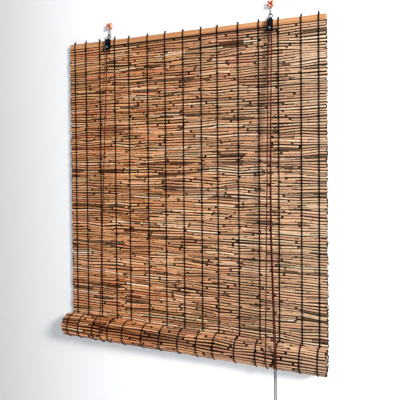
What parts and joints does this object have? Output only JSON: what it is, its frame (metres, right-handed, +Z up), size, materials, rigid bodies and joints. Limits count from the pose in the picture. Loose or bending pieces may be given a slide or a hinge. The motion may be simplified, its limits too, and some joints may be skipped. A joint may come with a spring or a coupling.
{
  "type": "reed roll-up blind",
  "caption": "Reed mat blind tied with warp strings to a pine lath, rolled up from below in two lift cords that run over sheaves in black steel hangers on wall hooks.",
  "frame": {"origin": "midway between the screw holes of the two wall hooks, on the wall plane", "axes": "+X to the right as seen from the room, +Y into the wall, +Z up"},
  "size_m": [0.8, 0.0875, 1.1051],
  "materials": {
    "reed": "dried reed stems, straw to brown",
    "pine": "planed pine, unfinished",
    "thread": "black twisted thread",
    "cord": "braided maroon cord",
    "enamel": "black enamel on steel",
    "zinc": "bright zinc plate",
    "copper": "copper plate",
    "brass": "dull brass",
    "sheave": "moulded nylon",
    "knob": "stained turned wood"
  },
  "bodies": {
    "header": {"header_lath": "pine", "reed_mat": "reed", "warp_string_01": "thread", "warp_string_02": "thread", "warp_string_03": "thread", "warp_string_04": "thread", "warp_string_05": "thread", "warp_string_06": "thread", "warp_string_07": "thread", "warp_string_08": "thread", "warp_string_09": "thread", "warp_string_10": "thread", "warp_string_11": "thread", "warp_string_12": "thread", "warp_string_13": "thread", "warp_string_14": "thread", "warp_string_15": "thread", "left_hanger_strap": "enamel", "right_hanger_strap": "enamel", "left_hanger_cheek": "enamel", "right_hanger_cheek": "enamel", "left_hanger_ring": "enamel", "right_hanger_ring": "enamel", "left_hanger_screw": "zinc", "right_hanger_screw": "zinc", "left_sheave_axle": "zinc", "right_sheave_axle": "zinc", "left_hook_rosette": "copper", "right_hook_rosette": "copper", "left_hook_collar": "brass", "right_hook_collar": "brass", "left_hook_wire": "zinc", "right_hook_wire": "zinc", "left_cord_staple": "zinc", "right_cord_staple": "zinc", "left_lift_cord_front": "cord", "right_lift_cord_front": "cord", "left_lift_cord_back": "cord", "right_lift_cord_back": "cord", "cross_cord": "cord", "right_sheave_cord": "cord", "left_pull_cord_upper": "cord", "right_pull_cord_upper": "cord"},
    "slings": {"left_sling": "cord", "right_sling": "cord"},
    "roll": {"reed_roll": "reed", "bottom_rod": "pine", "roll_strings": "thread"},
    "pull_end": {"left_pull_cord_lower": "cord", "right_pull_cord_lower": "cord", "pull_knob": "knob"},
    "left_sheave": {"left_sheave": "sheave"},
    "right_sheave": {"right_sheave": "sheave"}
  },
  "joints": [
    {"name": "roll_lift", "type": "slide", "parent": "header", "child": "slings", "axis": [0, 0, 1], "range_m": [0, 0.81], "deforming": ["reed_mat", "warp_string_01", "warp_string_02", "warp_string_03", "warp_string_04", "warp_string_05", "warp_string_06", "warp_string_07", "warp_string_08", "warp_string_09", "warp_string_10", "warp_string_11", "warp_string_12", "warp_string_13", "warp_string_14", "warp_string_15", "left_lift_cord_front", "right_lift_cord_front", "left_lift_cord_back", "right_lift_cord_back", "left_pull_cord_upper", "right_pull_cord_upper"]},
    {"name": "roll_turn", "type": "hinge", "parent": "slings", "child": "roll", "pos_m": [0, -0.0412, -0.942], "axis": [1, 0, 0], "range_deg": [-1490, 0]},
    {"name": "pull_draw", "type": "slide", "parent": "slings", "child": "pull_end", "axis": [0, 0, -1], "range_m": [0, 2.43]},
    {"name": "left_sheave_spin", "type": "hinge", "parent": "header", "child": "left_sheave", "pos_m": [-0.254, -0.01905, -0.0685], "axis": [0, 1, 0], "range_deg": [0, 23210]},
    {"name": "right_sheave_spin", "type": "hinge", "parent": "header", "child": "right_sheave", "pos_m": [0.254, -0.01905, -0.0685], "axis": [0, 1, 0], "range_deg": [0, 23210]}
  ],
  "couplings": [
    {"joint": "roll_turn", "follows": "roll_lift", "rad_per_m": -32.08},
    {"joint": "pull_draw", "follows": "roll_lift", "ratio": 3},
    {"joint": "left_sheave_spin", "follows": "roll_lift", "rad_per_m": 500},
    {"joint": "right_sheave_spin", "follows": "roll_lift", "rad_per_m": 500}
  ]
}
